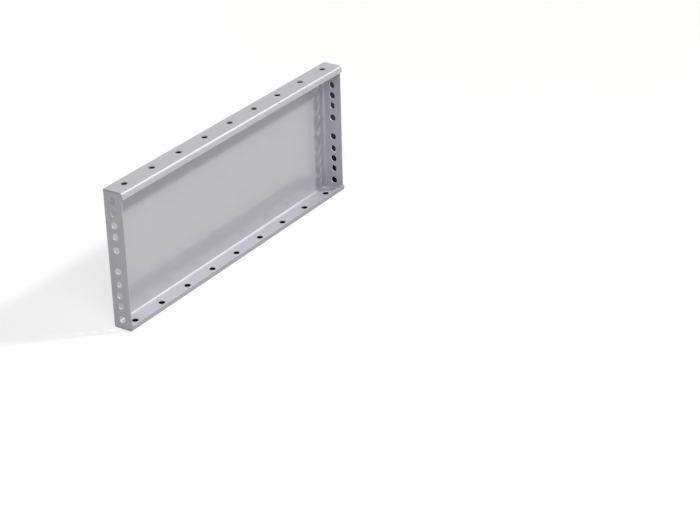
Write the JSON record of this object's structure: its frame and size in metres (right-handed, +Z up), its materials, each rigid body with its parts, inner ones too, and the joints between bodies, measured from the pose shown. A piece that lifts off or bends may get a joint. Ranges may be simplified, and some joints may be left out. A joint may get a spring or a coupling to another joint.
{
  "type": "enclosure plinth side panel",
  "caption": "Folded sheet-steel side panel for an enclosure plinth: a shallow tray with return lips, bolt-hole flanges and punched end plates, painted light grey.",
  "frame": {"origin": "middle of the foot: halfway along the length and the depth, on the outside of the bottom flange", "axes": "+X along the panel, +Y out of its closed outer face, +Z up"},
  "size_m": [0.5, 0.034, 0.198],
  "materials": {
    "grey_paint": "semi-gloss light grey powder coat"
  },
  "bodies": {
    "root": {"side_panel": "grey_paint"}
  },
  "joints": []
}
